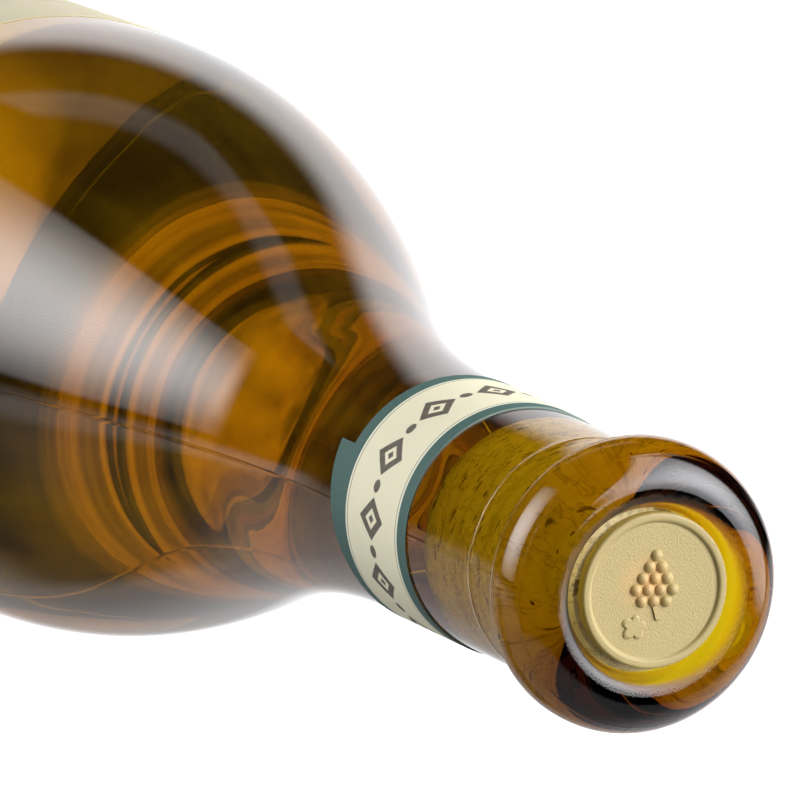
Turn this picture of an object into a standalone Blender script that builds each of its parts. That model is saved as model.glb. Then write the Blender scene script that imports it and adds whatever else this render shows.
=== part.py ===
"""Corked wine bottle, 750 ml, standing on its base ring.

The bottle stands on the XY plane with its axis on Z and its front label
facing -Y. The two mould seams of the real bottle lie on +X and -X. All sizes
are metres. Heights on the neck are given as depths below the top of the lip.
"""

import math

import bmesh
import bpy

# Glass, outer form
HEIGHT = 0.304
BODY_RADIUS = 0.04105
MOUTH_RADIUS = 0.0103
MOUTH_DEPTH = 0.0005
CROWN_RADIUS = 0.0118
FLANGE_RADIUS = 0.0169
FLANGE_DEPTH = 0.0058
FLANGE_BACK_DEPTH = 0.0088
FLANGE_BACK_RADIUS = 0.0150
FLANGE_BACK_TURN = math.radians(76)
NECK_TOP_DEPTH = 0.0125
NECK_TOP_RADIUS = 0.01425
NECK_RADIUS = 0.0150
SHOULDER_TOP_DEPTH = 0.0565
SHOULDER_BOTTOM_DEPTH = 0.1890
SHOULDER_TOP_PULL = 0.0578
SHOULDER_BOTTOM_PULL = 0.0538
HEEL_HEIGHT = 0.0095
RING_OUTER_RADIUS = 0.0345
RING_INNER_RADIUS = 0.0300
PUNT_HEIGHT = 0.0200

# Glass, inner form
BORE_RADIUS = 0.0093
BORE_TOP_DEPTH = 0.0030
MOUTH_STEP_DEPTH = 0.0016
MOUTH_STEP_RADIUS = 0.00985
BORE_BOTTOM_DEPTH = 0.0480
INNER_NECK_RADIUS = 0.0104
INNER_BODY_RADIUS = 0.0381
INNER_HEEL_RADIUS = 0.0090
INNER_FLOOR_RADIUS = 0.0290
INNER_FLOOR_HEIGHT = 0.0060
INNER_PUNT_HEIGHT = 0.0250

# Contents, cork and seal
GAP = 0.0003
DOME_GAP = 0.0005
FILL_DEPTH = 0.0550
CORK_RADIUS = 0.0090
CORK_TOP_DEPTH = 0.0026
CORK_LENGTH = 0.0330
CORK_CHAMFER = 0.0006
DISC_RADIUS = 0.00885
DISC_TOP_DEPTH = 0.0007
DISC_THICKNESS = 0.0016
DISC_EDGE = 0.0003
DISC_RING_RADIUS = 0.0083
DISC_RING_EASE = 0.0001
DISC_FIELD_RADIUS = 0.0078
DISC_FIELD_DROP = 0.00035
DISC_SHIFT = 0.00056
DISC_SHIFT_ANGLE = math.radians(-155.5)

# Grape motif on the seal
GRAPE_RADIUS = 0.00078
GRAPE_PITCH = 0.00150
GRAPE_ROWS = (3, 4, 3, 2, 1)
GRAPE_SINK = 0.00048
GRAPE_TOP_ROW = 0.0012
RELIEF_RISE = 0.00020
RELIEF_ROOT = 0.00040
LEAF_CENTRE = (0.0021, 0.0040)
LEAF_RADII = (0.00136, 0.0013)
LEAF_LOBES = 5
LEAF_LOBE_DEPTH = 0.24
STALK_FOOT = 0.0017
STALK_LENGTH = 0.0017
STALK_WIDTH = 0.0005
STALK_LEAN = 0.0006

# Paper
PAPER = 0.00025
PAPER_GAP = 0.00025
BAND_TOP_DEPTH = 0.0359
BAND_BOTTOM_DEPTH = 0.0556
BAND_TAIL_START = math.radians(-28)
BAND_TAIL_SWEEP = math.radians(64)
BAND_TAIL_DROP = 0.0038
LABEL_TOP = 0.1080
LABEL_HEIGHT = 0.0820
LABEL_WIDTH = 0.0920
LABEL_CORNER = 0.0030

# Fineness of the turned pieces
SEGMENTS = 48
CORK_SEGMENTS = 32
LIP_STEPS = 7
SHOULDER_STEPS = 13
ROUND_STEPS = 4
PUNT_STEPS = 5
LABEL_STEPS = 22
LEAF_STEPS = 20
GRAPE_SEGMENTS = 10
GRAPE_RINGS = 6
SEARCH_STEPS = 400
MERGE_DISTANCE = 1e-6

# Angles above which an edge of a turned piece stays crisp
GLASS_CRISP = math.radians(40)
CORK_CRISP = math.radians(20)
DISC_CRISP = math.radians(30)

# Cut end of the band's paper strip, as an angle round the neck
STRIP_END_SWEEP = math.radians(0.45)


def clear_scene():
    """Remove every object of the open scene."""
    for item in list(bpy.data.objects):
        bpy.data.objects.remove(item, do_unlink=True)


def make_material(name, colour, roughness, transmission=0.0):
    """Return a Principled material of one finish."""
    material = bpy.data.materials.new(name)
    material.use_nodes = True
    shader = material.node_tree.nodes["Principled BSDF"]
    shader.inputs["Base Color"].default_value = (*colour, 1.0)
    shader.inputs["Roughness"].default_value = roughness
    shader.inputs["Metallic"].default_value = 0.0
    shader.inputs["Transmission Weight"].default_value = transmission
    return material


def add_object(name, mesh, material):
    """Link a mesh to the scene as an object with one material."""
    item = bpy.data.objects.new(name, mesh)
    bpy.context.scene.collection.objects.link(item)
    mesh.materials.append(material)
    return item


def arc(centre, radii, start, end, steps):
    """Return points of an elliptical arc in the (radius, height) plane."""
    points = []
    for step in range(steps + 1):
        angle = start + (end - start) * step / steps
        radius = centre[0] + radii[0] * math.cos(angle)
        height = centre[1] + radii[1] * math.sin(angle)
        points.append((radius, height))
    return points


def bezier(p0, p1, p2, p3, steps):
    """Return points of a cubic curve, both ends included."""
    points = []
    for step in range(steps + 1):
        t = step / steps
        s = 1 - t
        weights = (s ** 3, 3 * s * s * t, 3 * s * t * t, t ** 3)
        radius = sum(w * p[0] for w, p in zip(weights, (p0, p1, p2, p3)))
        height = sum(w * p[1] for w, p in zip(weights, (p0, p1, p2, p3)))
        points.append((radius, height))
    return points


def dome(rim_radius, rim_height, apex_height, steps):
    """Return a parabolic dome from its rim to its apex on the axis."""
    points = []
    for step in range(steps + 1):
        radius = rim_radius * (1 - step / steps)
        rise = (apex_height - rim_height) * (1 - (radius / rim_radius) ** 2)
        points.append((radius, rim_height + rise))
    return points


def shoulder(top_radius, bottom_radius, steps):
    """Return the sloping shoulder between the neck and the body."""
    top = HEIGHT - SHOULDER_TOP_DEPTH
    bottom = HEIGHT - SHOULDER_BOTTOM_DEPTH
    return bezier(
        (top_radius, top),
        (top_radius, top - SHOULDER_TOP_PULL),
        (bottom_radius, bottom + SHOULDER_BOTTOM_PULL),
        (bottom_radius, bottom),
        steps,
    )


def outer_profile():
    """Return the outside of the glass, from the mouth edge to the punt."""
    mouth = (MOUTH_RADIUS, HEIGHT - MOUTH_DEPTH)
    flange = HEIGHT - FLANGE_DEPTH
    crown_width = FLANGE_RADIUS - CROWN_RADIUS
    lip = arc((CROWN_RADIUS, flange), (crown_width, FLANGE_DEPTH), math.pi / 2, 0.0, LIP_STEPS)
    back_centre = (FLANGE_BACK_RADIUS, flange)
    back_radii = (FLANGE_RADIUS - FLANGE_BACK_RADIUS, FLANGE_BACK_DEPTH - FLANGE_DEPTH)
    back = arc(back_centre, back_radii, 0.0, -FLANGE_BACK_TURN, ROUND_STEPS)[1:]
    neck = [(NECK_TOP_RADIUS, HEIGHT - NECK_TOP_DEPTH)]
    heel_radii = (BODY_RADIUS - RING_OUTER_RADIUS, HEEL_HEIGHT)
    heel = arc((RING_OUTER_RADIUS, HEEL_HEIGHT), heel_radii, 0.0, -math.pi / 2, ROUND_STEPS)
    punt = dome(RING_INNER_RADIUS, 0.0, PUNT_HEIGHT, PUNT_STEPS)
    slope = shoulder(NECK_RADIUS, BODY_RADIUS, SHOULDER_STEPS)
    return [mouth] + lip + back + neck + slope + heel + punt


def inner_wall(inset=0.0, lift=0.0):
    """Return the inside of the glass below the bore, top to bottom.

    inset moves the wall inwards and lift the floor upwards, for what fills it.
    """
    floor = INNER_FLOOR_HEIGHT + lift
    apex = INNER_PUNT_HEIGHT + lift
    slope = shoulder(INNER_NECK_RADIUS - inset, INNER_BODY_RADIUS - inset, SHOULDER_STEPS)
    heel_centre = (INNER_BODY_RADIUS - INNER_HEEL_RADIUS, floor + INNER_HEEL_RADIUS)
    heel_radii = (INNER_HEEL_RADIUS - inset, INNER_HEEL_RADIUS)
    heel = arc(heel_centre, heel_radii, 0.0, -math.pi / 2, ROUND_STEPS)
    return slope + heel + dome(heel[-1][0], floor, apex, PUNT_STEPS)[1:]


def bore_profile():
    """Return the bore from its narrow start up to the mouth edge."""
    return [
        (BORE_RADIUS, HEIGHT - BORE_BOTTOM_DEPTH),
        (BORE_RADIUS, HEIGHT - BORE_TOP_DEPTH),
        (MOUTH_STEP_RADIUS, HEIGHT - MOUTH_STEP_DEPTH),
    ]


def turn(name, profile, segments, crisp_angle):
    """Turn a (radius, height) line round Z into a closed mesh."""
    work = bmesh.new()
    chain = [work.verts.new((radius, 0.0, height)) for radius, height in profile]
    edges = []
    for first, second in zip(chain, chain[1:]):
        edges.append(work.edges.new((first, second)))
    bmesh.ops.spin(
        work,
        geom=chain + edges,
        cent=(0.0, 0.0, 0.0),
        axis=(0.0, 0.0, 1.0),
        angle=2 * math.pi,
        steps=segments,
        use_merge=True,
    )
    bmesh.ops.remove_doubles(work, verts=work.verts, dist=MERGE_DISTANCE)
    bmesh.ops.recalc_face_normals(work, faces=work.faces)
    mesh = bpy.data.meshes.new(name)
    work.to_mesh(mesh)
    work.free()
    mesh.shade_smooth()
    mesh.set_sharp_from_angle(angle=crisp_angle)
    return mesh


def build_glass():
    """Make the bottle: outside, base, inside and bore as one turned body."""
    line = outer_profile()[::-1] + bore_profile()[::-1] + inner_wall()
    finish = make_material("olive_glass", (0.25, 0.16, 0.01), 0.03, 0.95)
    return add_object("glass_bottle", turn("glass_bottle", line, SEGMENTS, GLASS_CRISP), finish)


def shoulder_radius(depth, top_radius, bottom_radius):
    """Return the radius of a shoulder at one depth below the lip."""
    points = shoulder(top_radius, bottom_radius, SEARCH_STEPS)
    height = HEIGHT - depth
    for upper, lower in zip(points, points[1:]):
        if upper[1] >= height >= lower[1]:
            share = (upper[1] - height) / (upper[1] - lower[1])
            return upper[0] + (lower[0] - upper[0]) * share
    return top_radius


def build_wine():
    """Make the wine up to its level, clear of the glass all round."""
    level = HEIGHT - FILL_DEPTH
    top_radius = INNER_NECK_RADIUS - 2 * GAP
    line = [(0.0, level), (top_radius, level)]
    line += [point for point in inner_wall(GAP, DOME_GAP) if point[1] < level - GAP]
    finish = make_material("white_wine", (0.80, 0.62, 0.20), 0.0, 1.0)
    return add_object("wine", turn("wine", line, SEGMENTS, GLASS_CRISP), finish)


def build_cork():
    """Make the cork with its two bevelled ends."""
    top = HEIGHT - CORK_TOP_DEPTH
    bottom = top - CORK_LENGTH
    line = [
        (0.0, top),
        (CORK_RADIUS - CORK_CHAMFER, top),
        (CORK_RADIUS, top - CORK_CHAMFER),
        (CORK_RADIUS, bottom + CORK_CHAMFER),
        (CORK_RADIUS - CORK_CHAMFER, bottom),
        (0.0, bottom),
    ]
    finish = make_material("cork", (0.55, 0.38, 0.20), 0.85)
    return add_object("cork", turn("cork", line, CORK_SEGMENTS, CORK_CRISP), finish)


def grape_centres():
    """Yield the places of the grapes in a pointed bunch, tip towards -Y."""
    row_step = GRAPE_PITCH * math.sqrt(3) / 2
    for row, count in enumerate(GRAPE_ROWS):
        for place in range(count):
            across = (place - (count - 1) / 2) * GRAPE_PITCH
            yield across, GRAPE_TOP_ROW - row * row_step


def add_prism(work, outline, low, high):
    """Add an upright prism on a closed outline to a bmesh."""
    bottom = [work.verts.new((x, y, low)) for x, y in outline]
    top = [work.verts.new((x, y, high)) for x, y in outline]
    work.faces.new(list(reversed(bottom)))
    work.faces.new(top)
    count = len(outline)
    for index in range(count):
        after = (index + 1) % count
        work.faces.new((bottom[index], bottom[after], top[after], top[index]))


def add_relief(group, name, work):
    """Turn a bmesh into an object of the relief's collection."""
    mesh = bpy.data.meshes.new(name)
    work.to_mesh(mesh)
    work.free()
    group.objects.link(bpy.data.objects.new(name, mesh))


def leaf_outline():
    """Return the lobed outline of the leaf beside the stalk."""
    outline = []
    for step in range(LEAF_STEPS):
        angle = 2 * math.pi * step / LEAF_STEPS
        reach = 1 + LEAF_LOBE_DEPTH * math.cos(LEAF_LOBES * angle)
        x = LEAF_CENTRE[0] + LEAF_RADII[0] * reach * math.cos(angle)
        y = LEAF_CENTRE[1] + LEAF_RADII[1] * reach * math.sin(angle)
        outline.append((x, y))
    return outline


def relief_collection(field):
    """Return the grapes, leaf and stalk that stand on the seal's field."""
    group = bpy.data.collections.new("seal_relief")
    for index, (across, along) in enumerate(grape_centres()):
        work = bmesh.new()
        bmesh.ops.create_uvsphere(
            work, u_segments=GRAPE_SEGMENTS, v_segments=GRAPE_RINGS, radius=GRAPE_RADIUS
        )
        place = (across, along, field + RELIEF_RISE - GRAPE_SINK)
        bmesh.ops.translate(work, verts=work.verts, vec=place)
        add_relief(group, f"grape_{index}", work)
    work = bmesh.new()
    add_prism(work, leaf_outline(), field - RELIEF_ROOT, field + RELIEF_RISE)
    add_relief(group, "leaf", work)
    work = bmesh.new()
    half = STALK_WIDTH / 2
    tip = STALK_FOOT + STALK_LENGTH
    outline = [(-half, STALK_FOOT), (half, STALK_FOOT)]
    outline += [(half - STALK_LEAN, tip), (-half - STALK_LEAN, tip)]
    add_prism(work, outline, field - RELIEF_ROOT, field + RELIEF_RISE)
    add_relief(group, "stalk", work)
    return group


def build_disc():
    """Make the seal: a disc with a raised ring round a field with a bunch of grapes."""
    top = HEIGHT - DISC_TOP_DEPTH
    bottom = top - DISC_THICKNESS
    field = top - DISC_FIELD_DROP
    line = [
        (0.0, field),
        (DISC_FIELD_RADIUS - DISC_RING_EASE, field),
        (DISC_FIELD_RADIUS + DISC_RING_EASE, top - DISC_RING_EASE),
        (DISC_RING_RADIUS, top),
        (DISC_RADIUS - DISC_EDGE, top - DISC_RING_EASE),
        (DISC_RADIUS, top - DISC_RING_EASE - DISC_EDGE),
        (DISC_RADIUS, bottom + DISC_EDGE),
        (DISC_RADIUS - DISC_EDGE, bottom),
        (0.0, bottom),
    ]
    finish = make_material("pale_gold_lacquer", (0.66, 0.55, 0.28), 0.45)
    disc = add_object("seal_disc", turn("seal_disc", line, SEGMENTS, DISC_CRISP), finish)
    group = relief_collection(field)
    join = disc.modifiers.new("relief", "BOOLEAN")
    join.operation = "UNION"
    join.operand_type = "COLLECTION"
    join.collection = group
    bpy.context.view_layer.update()
    graph = bpy.context.evaluated_depsgraph_get()
    fused = bpy.data.meshes.new_from_object(disc.evaluated_get(graph))
    disc.modifiers.remove(join)
    disc.data = fused
    for item in list(group.objects):
        bpy.data.objects.remove(item, do_unlink=True)
    bpy.data.collections.remove(group)
    disc.location.x = DISC_SHIFT * math.cos(DISC_SHIFT_ANGLE)
    disc.location.y = DISC_SHIFT * math.sin(DISC_SHIFT_ANGLE)
    return disc


def neck_radius(depth):
    """Return the outer radius of the neck at one depth below the lip."""
    if depth <= SHOULDER_TOP_DEPTH:
        share = (depth - NECK_TOP_DEPTH) / (SHOULDER_TOP_DEPTH - NECK_TOP_DEPTH)
        return NECK_TOP_RADIUS + (NECK_RADIUS - NECK_TOP_RADIUS) * share
    return shoulder_radius(depth, NECK_RADIUS, BODY_RADIUS)


def band_bottom_depth(angle):
    """Return the lower edge of the neck band, with the tail of its askew strip."""
    sweep = (angle - BAND_TAIL_START) % (2 * math.pi)
    if sweep < BAND_TAIL_SWEEP:
        return BAND_BOTTOM_DEPTH + BAND_TAIL_DROP * (1 - sweep / BAND_TAIL_SWEEP)
    return BAND_BOTTOM_DEPTH


def build_neck_band():
    """Make the paper band round the neck, its strip end hanging a little lower."""
    work = bmesh.new()
    pitch = 2 * math.pi / SEGMENTS
    start = BAND_TAIL_START % (2 * math.pi)
    angles = [pitch * index for index in range(SEGMENTS)]
    angles += [start - STRIP_END_SWEEP, start]
    angles.sort()
    loops = []
    for angle in angles:
        cosine = math.cos(angle)
        sine = math.sin(angle)
        facet = math.cos(pitch / 2) / math.cos(angle % pitch - pitch / 2)
        corners = []
        for depth, lift in (
            (BAND_TOP_DEPTH, PAPER_GAP),
            (BAND_TOP_DEPTH, PAPER_GAP + PAPER),
            (band_bottom_depth(angle), PAPER_GAP + PAPER),
            (band_bottom_depth(angle), PAPER_GAP),
        ):
            radius = (neck_radius(depth) + lift) * facet
            corners.append(work.verts.new((radius * cosine, radius * sine, HEIGHT - depth)))
        loops.append(corners)
    for index, corners in enumerate(loops):
        after = loops[(index + 1) % len(loops)]
        for side in range(4):
            other = (side + 1) % 4
            work.faces.new((corners[side], corners[other], after[other], after[side]))
    bmesh.ops.recalc_face_normals(work, faces=work.faces)
    mesh = bpy.data.meshes.new("neck_band")
    work.to_mesh(mesh)
    work.free()
    finish = make_material("cream_paper_green_edge", (0.68, 0.63, 0.46), 0.7)
    return add_object("neck_band", mesh, finish)


def build_body_label():
    """Make the paper label on the front of the body."""
    work = bmesh.new()
    radius = BODY_RADIUS + PAPER_GAP
    half_angle = LABEL_WIDTH / 2 / radius
    columns = []
    for step in range(LABEL_STEPS + 1):
        turn_by = -half_angle + 2 * half_angle * step / LABEL_STEPS
        angle = turn_by - math.pi / 2
        side = (half_angle - abs(turn_by)) * radius
        trim = max(0.0, LABEL_CORNER - side)
        high = LABEL_TOP - trim
        low = LABEL_TOP - LABEL_HEIGHT + trim
        ring = []
        for height, lift in ((high, 0.0), (high, PAPER), (low, PAPER), (low, 0.0)):
            reach = radius + lift
            ring.append(work.verts.new((reach * math.cos(angle), reach * math.sin(angle), height)))
        columns.append(ring)
    for first, second in zip(columns, columns[1:]):
        for side in range(4):
            other = (side + 1) % 4
            work.faces.new((first[side], first[other], second[other], second[side]))
    work.faces.new(list(reversed(columns[0])))
    work.faces.new(columns[-1])
    bmesh.ops.recalc_face_normals(work, faces=work.faces)
    mesh = bpy.data.meshes.new("body_label")
    work.to_mesh(mesh)
    work.free()
    finish = make_material("cream_paper", (0.70, 0.66, 0.50), 0.7)
    return add_object("body_label", mesh, finish)


def main():
    """Build every piece of the corked bottle."""
    clear_scene()
    build_glass()
    build_wine()
    build_cork()
    build_disc()
    build_neck_band()
    build_body_label()


main()
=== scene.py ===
"""Looks of a corked wine bottle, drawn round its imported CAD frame.

The bottle stands on the XY plane with its axis on Z and its label facing -Y.
Sizes are metres and angles are radians unless a name says otherwise. Heights
on the neck are given as depths below the top of the lip. The camera looks down
on the mouth, and a painted studio sky gives the glass its reflections.
"""

import logging
import math
from dataclasses import dataclass
from enum import Enum
from typing import Any, Optional, Union

import bmesh
import bpy
from mathutils import Matrix, Quaternion, Vector


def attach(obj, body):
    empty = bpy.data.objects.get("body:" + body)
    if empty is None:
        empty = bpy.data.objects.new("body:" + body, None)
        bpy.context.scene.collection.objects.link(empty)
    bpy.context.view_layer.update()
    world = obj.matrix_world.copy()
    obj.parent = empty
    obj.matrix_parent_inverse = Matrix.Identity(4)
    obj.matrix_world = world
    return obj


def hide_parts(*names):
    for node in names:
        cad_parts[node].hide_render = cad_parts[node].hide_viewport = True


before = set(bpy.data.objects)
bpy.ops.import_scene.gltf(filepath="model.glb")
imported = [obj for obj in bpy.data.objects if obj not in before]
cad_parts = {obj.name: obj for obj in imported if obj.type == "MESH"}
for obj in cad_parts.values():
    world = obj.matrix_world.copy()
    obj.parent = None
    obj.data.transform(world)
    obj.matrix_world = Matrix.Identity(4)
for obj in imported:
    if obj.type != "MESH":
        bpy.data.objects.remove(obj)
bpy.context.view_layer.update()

LOG = logging.getLogger("wine_bottle")
BODY = "root"
SEED = 11

Point = tuple[float, float]
Colour = tuple[float, float, float]
Number = Union[float, int]
Operand = Union["Term", Number]
Inputs = dict[Union[str, int], Any]


class Slot(Enum):
    """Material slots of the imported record."""

    GLASS = "olive_glass"
    WINE = "white_wine"
    CORK = "cork"
    SEAL = "pale_gold_lacquer"
    BAND = "band_paper"
    LABEL = "label_paper"


class Term:
    """One output socket that takes part in Python expressions."""

    def __init__(self, graph: "Graph", socket: bpy.types.NodeSocket) -> None:
        """Keep the socket and the graph that it belongs to."""
        self.graph = graph
        self.socket = socket

    def out(self, name: str) -> "Term":
        """Return another output of the same node, by its name."""
        return Term(self.graph, self.socket.node.outputs[name])

    def __add__(self, other: Operand) -> "Term":
        """Add a value on the right."""
        return self.graph.calc("ADD", self, other)

    def __radd__(self, other: Operand) -> "Term":
        """Add a value on the left."""
        return self.graph.calc("ADD", other, self)

    def __sub__(self, other: Operand) -> "Term":
        """Subtract a value on the right."""
        return self.graph.calc("SUBTRACT", self, other)

    def __rsub__(self, other: Operand) -> "Term":
        """Subtract this term from a value."""
        return self.graph.calc("SUBTRACT", other, self)

    def __mul__(self, other: Operand) -> "Term":
        """Multiply by a value on the right."""
        return self.graph.calc("MULTIPLY", self, other)

    def __rmul__(self, other: Operand) -> "Term":
        """Multiply by a value on the left."""
        return self.graph.calc("MULTIPLY", other, self)

    def __truediv__(self, other: Operand) -> "Term":
        """Divide by a value."""
        return self.graph.calc("DIVIDE", self, other)

    def __rtruediv__(self, other: Operand) -> "Term":
        """Divide a value by this term."""
        return self.graph.calc("DIVIDE", other, self)

    def __pow__(self, other: Operand) -> "Term":
        """Raise this term to a power."""
        return self.graph.calc("POWER", self, other)

    def __neg__(self) -> "Term":
        """Return the term with its sign turned."""
        return self.graph.calc("MULTIPLY", self, -1.0)


class Graph:
    """A node tree under construction, for a material, the sky or a shape."""

    def __init__(self, tree: bpy.types.NodeTree) -> None:
        """Start on an emptied tree.

        Args:
            tree: The node tree to fill.
        """
        self.tree = tree
        tree.nodes.clear()

    def node(
        self,
        kind: str,
        settings: Optional[dict[str, Any]] = None,
        inputs: Optional[Inputs] = None,
        output: Union[str, int] = 0,
    ) -> Term:
        """Make one node.

        Args:
            kind: The node's type.
            settings: Its settings, or "stops" for a colour ramp, set first.
            inputs: Values or terms by the name or number of their socket.
            output: The output that the returned term stands for.

        Returns:
            The term of the chosen output.
        """
        made = self.tree.nodes.new(kind)
        for name, value in (settings or {}).items():
            if name == "stops":
                self._set_stops(made.color_ramp, value)
            else:
                setattr(made, name, value)
        for key, value in (inputs or {}).items():
            socket = made.inputs[key]
            if isinstance(value, Term):
                self.tree.links.new(value.socket, socket)
            else:
                socket.default_value = value
        return Term(self, made.outputs[output]) if len(made.outputs) else Term(self, made.inputs[0])

    @staticmethod
    def _set_stops(ramp: bpy.types.ColorRamp, stops: list[tuple[float, Colour]]) -> None:
        """Give a colour ramp its stops.

        Args:
            ramp: The ramp to fill.
            stops: Places from 0 to 1 and their colours.
        """
        while len(ramp.elements) < len(stops):
            ramp.elements.new(1.0)
        for element, (place, colour) in zip(ramp.elements, stops):
            element.position = place
            element.color = (*colour, 1.0)

    def calc(self, operation: str, *values: Operand) -> Term:
        """Return a Math node's result.

        Args:
            operation: The node's operation.
            values: Its two or three operands.

        Returns:
            The result.
        """
        inputs = dict(enumerate(values))
        return self.node("ShaderNodeMath", {"operation": operation}, inputs)

    def split(self, vector: Term) -> tuple[Term, Term, Term]:
        """Return a vector's X, Y and Z."""
        parts = self.node("ShaderNodeSeparateXYZ", None, {0: vector}, "X")
        return parts, parts.out("Y"), parts.out("Z")

    def join(self, x: Operand, y: Operand, z: Operand) -> Term:
        """Return a vector of three values."""
        return self.node("ShaderNodeCombineXYZ", None, {0: x, 1: y, 2: z})

    def fade(self, value: Operand, low: float, high: float) -> Term:
        """Return 0 below low, 1 above high and a smooth step between them."""
        return self.node(
            "ShaderNodeMapRange",
            {"interpolation_type": "SMOOTHSTEP"},
            {"Value": value, "From Min": low, "From Max": high},
        )

    def between(self, value: Operand, low: float, high: float, soft: float) -> Term:
        """Return 1 from low to high and 0 outside, with soft ends."""
        return self.fade(value, low - soft, low + soft) * (
            1.0 - self.fade(value, high - soft, high + soft)
        )

    def mix(self, factor: Operand, first: Any, second: Any, mode: str = "MIX") -> Term:
        """Mix two colours.

        Args:
            factor: The share of the second colour.
            first: The first colour, a term or three numbers.
            second: The second colour.
            mode: The blend mode.

        Returns:
            The mixed colour.
        """
        sides = [side if isinstance(side, Term) else (*side, 1.0) for side in (first, second)]
        return self.node(
            "ShaderNodeMix",
            {"data_type": "RGBA", "blend_type": mode},
            {0: factor, 6: sides[0], 7: sides[1]},
            2,
        )

    def scaled(self, vector: Term, factors: tuple[float, float, float]) -> Term:
        """Return a vector stretched by three factors."""
        return self.node("ShaderNodeVectorMath", {"operation": "MULTIPLY"}, {0: vector, 1: factors})

    def noise(self, vector: Term, scale: float, detail: float = 2.0, rough: float = 0.5) -> Term:
        """Return a noise value at a place.

        Args:
            vector: The place.
            scale: Waves for each metre.
            detail: Octaves.
            rough: Strength of the finer octaves.

        Returns:
            The noise, about 0.5 on average.
        """
        return self.node(
            "ShaderNodeTexNoise",
            None,
            {"Vector": vector, "Scale": scale, "Detail": detail, "Roughness": rough},
        )

    def bump(
        self, height: Term, distance: float, strength: Operand = 1.0, base: Optional[Term] = None
    ) -> Term:
        """Return a normal that follows a height.

        Args:
            height: The height, as a plain number.
            distance: What a height of 1 stands for, in metres.
            strength: The share of the slope that counts.
            base: The normal that it starts from, where that isn't the mesh's own.

        Returns:
            The normal.
        """
        inputs: Inputs = {"Height": height, "Strength": strength, "Distance": distance}
        if base is not None:
            inputs["Normal"] = base
        return self.node("ShaderNodeBump", None, inputs)

    def stained(self, kept: Colour, density: float) -> Term:
        """Return a clear volume that keeps one colour of the light that crosses it."""
        return self.node("ShaderNodeVolumeAbsorption", None, {"Color": (*kept, 1.0), "Density": density})

    def dress(self, values: Inputs, filling: Optional[Term] = None) -> None:
        """End a material with its surface.

        Args:
            values: The surface's values and terms by socket.
            filling: The volume inside, where light goes through the piece.
        """
        ends: Inputs = {"Surface": self.node("ShaderNodeBsdfPrincipled", None, values)}
        if filling is not None:
            ends["Volume"] = filling
        self.node("ShaderNodeOutputMaterial", None, ends)


class Shape:
    """A Geometry Nodes tree with named inputs that turns an object into a mesh."""

    def __init__(self, name: str, inputs: dict[str, str]) -> None:
        """Make the tree and its sockets.

        Args:
            name: The tree's name.
            inputs: Socket types by the name of each input.
        """
        tree = bpy.data.node_groups.new(name, "GeometryNodeTree")
        self.graph = Graph(tree)
        self.keys: dict[str, str] = {}
        tree.interface.new_socket("Geometry", in_out="INPUT", socket_type="NodeSocketGeometry")
        tree.interface.new_socket("Geometry", in_out="OUTPUT", socket_type="NodeSocketGeometry")
        for label, kind in inputs.items():
            socket = tree.interface.new_socket(label, in_out="INPUT", socket_type=kind)
            self.keys[label] = socket.identifier
        self.source = self.graph.node("NodeGroupInput", None, None, "Geometry")

    def given(self, label: str) -> Term:
        """Return one of the tree's inputs."""
        return self.source.out(label)

    def close(self, geometry: Term, finish: Term) -> None:
        """End the tree with real geometry that has its material.

        Args:
            geometry: The finished geometry.
            finish: The material.
        """
        real = self.graph.node("GeometryNodeRealizeInstances", None, {"Geometry": geometry})
        dressed = self.graph.node("GeometryNodeSetMaterial", None, {"Geometry": real, "Material": finish})
        self.graph.node("NodeGroupOutput", None, {"Geometry": dressed})

    def run(self, name: str, start: bpy.types.Mesh, values: dict[str, Any]) -> bpy.types.Object:
        """Run the tree on a mesh and keep the result as a plain mesh.

        Args:
            name: The finished piece's name.
            start: The mesh that the tree starts from.
            values: The inputs' values by name.

        Returns:
            The object with its finished mesh.
        """
        item = placed(name, start)
        modifier = item.modifiers.new(self.graph.tree.name, "NODES")
        modifier.node_group = self.graph.tree
        for label, value in values.items():
            modifier[self.keys[label]] = value
        bpy.context.view_layer.update()
        graph = bpy.context.evaluated_depsgraph_get()
        mesh = bpy.data.meshes.new_from_object(item.evaluated_get(graph))
        item.modifiers.remove(modifier)
        item.data = mesh
        mesh.name = name
        face_outwards(mesh)
        return item


def placed(name: str, data: Union[bpy.types.Mesh, bpy.types.Camera]) -> bpy.types.Object:
    """Return a new object at the origin of the scene."""
    item = bpy.data.objects.new(name, data)
    bpy.context.scene.collection.objects.link(item)
    return item


def face_outwards(mesh: bpy.types.Mesh) -> None:
    """Turn a closed mesh's faces outwards where it holds a negative volume."""
    work = bmesh.new()
    work.from_mesh(mesh)
    if work.calc_volume(signed=True) < 0:
        bmesh.ops.reverse_faces(work, faces=work.faces)
        work.to_mesh(mesh)
    work.free()


def keep(item: bpy.types.Object, slot: Slot, *nodes: str) -> bpy.types.Object:
    """Fix a finished piece to the bottle.

    Args:
        item: The piece.
        slot: The record's material slot of the piece; not used.
        nodes: The CAD nodes that it stands for.

    Returns:
        The piece.
    """
    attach(item, BODY)
    if nodes:
        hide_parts(*nodes)
    LOG.info("%s: %d faces", item.name, len(item.data.polygons))
    return item


def line_mesh(name: str, points: list[Point], seam: Optional[list[float]] = None) -> bpy.types.Mesh:
    """Return a (radius, height) line as a mesh of points in a row.

    Args:
        name: The mesh's name.
        points: The line.
        seam: How much of the mould seam's rise each point takes.

    Returns:
        The mesh, with the seam's share as an attribute.
    """
    mesh = bpy.data.meshes.new(name)
    edges = [(index, index + 1) for index in range(len(points) - 1)]
    mesh.from_pydata([(radius, 0.0, height) for radius, height in points], edges, [])
    share = mesh.attributes.new("seam", "FLOAT", "POINT")
    share.data.foreach_set("value", seam or [0.0] * len(points))
    return mesh


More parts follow.
